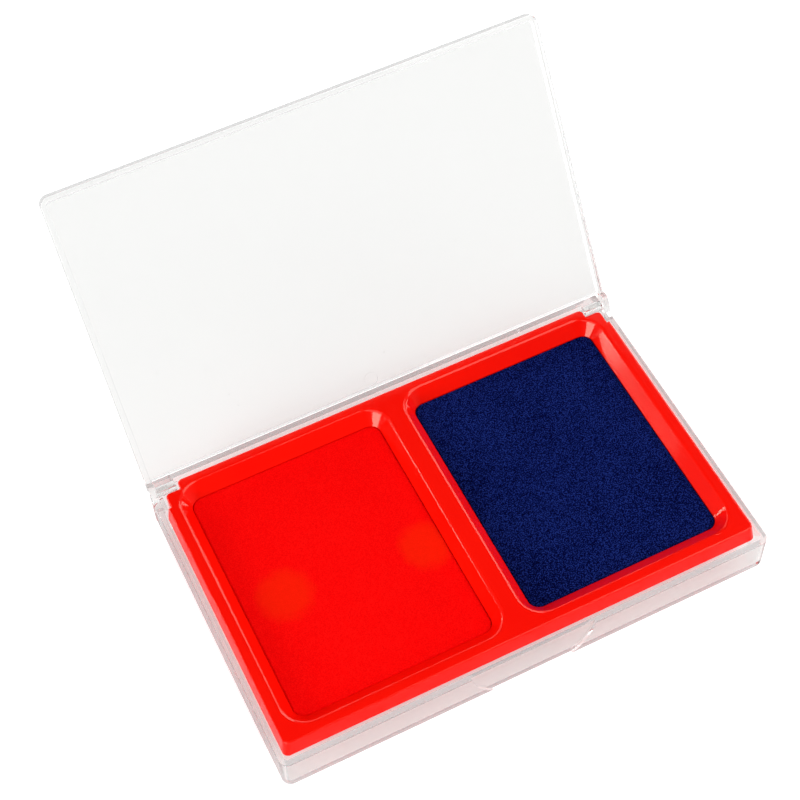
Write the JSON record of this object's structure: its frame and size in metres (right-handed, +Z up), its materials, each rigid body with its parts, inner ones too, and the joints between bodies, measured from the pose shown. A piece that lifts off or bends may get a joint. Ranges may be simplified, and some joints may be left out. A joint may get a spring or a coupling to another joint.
{
  "type": "ink pad",
  "caption": "Two-colour stamp pad: red tray with a red and a blue inked felt pad side by side, in a shallow clear hinged case with its lid open.",
  "frame": {"origin": "centre of the case's flat underside, under the middle of the 138 x 88 mm base (the open lid leans out behind it)", "axes": "+X runs along the hinge towards the blue pad, +Y points to the hinge side, +Z is up out of the pads"},
  "size_m": [0.138, 0.1333, 0.0849],
  "materials": {
    "clear_polystyrene": "clear moulded polystyrene, polished",
    "tray_plastic": "glossy orange-red moulded plastic",
    "pad_backing": "thin stiff plastic sheet",
    "blue_ink_core": "felt core soaked in blue ink",
    "red_ink_core": "felt core soaked in red ink",
    "blue_ink_fabric": "short-fibred felt fabric, damp with blue ink",
    "red_ink_fabric": "short-fibred felt fabric, damp with red ink"
  },
  "bodies": {
    "case": {"base_shell": "clear_polystyrene", "ink_tray": "tray_plastic", "blue_pad_backing": "pad_backing", "blue_pad_core": "blue_ink_core", "blue_pad_cover": "blue_ink_fabric", "red_pad_backing": "pad_backing", "red_pad_core": "red_ink_core", "red_pad_cover": "red_ink_fabric"},
    "lid": {"lid": "clear_polystyrene"}
  },
  "joints": [
    {"name": "lid_hinge", "type": "hinge", "parent": "case", "child": "lid", "pos_m": [0, 0.0415, 0.0125], "axis": [1, 0, 0], "range_deg": [0, 122.5]}
  ]
}
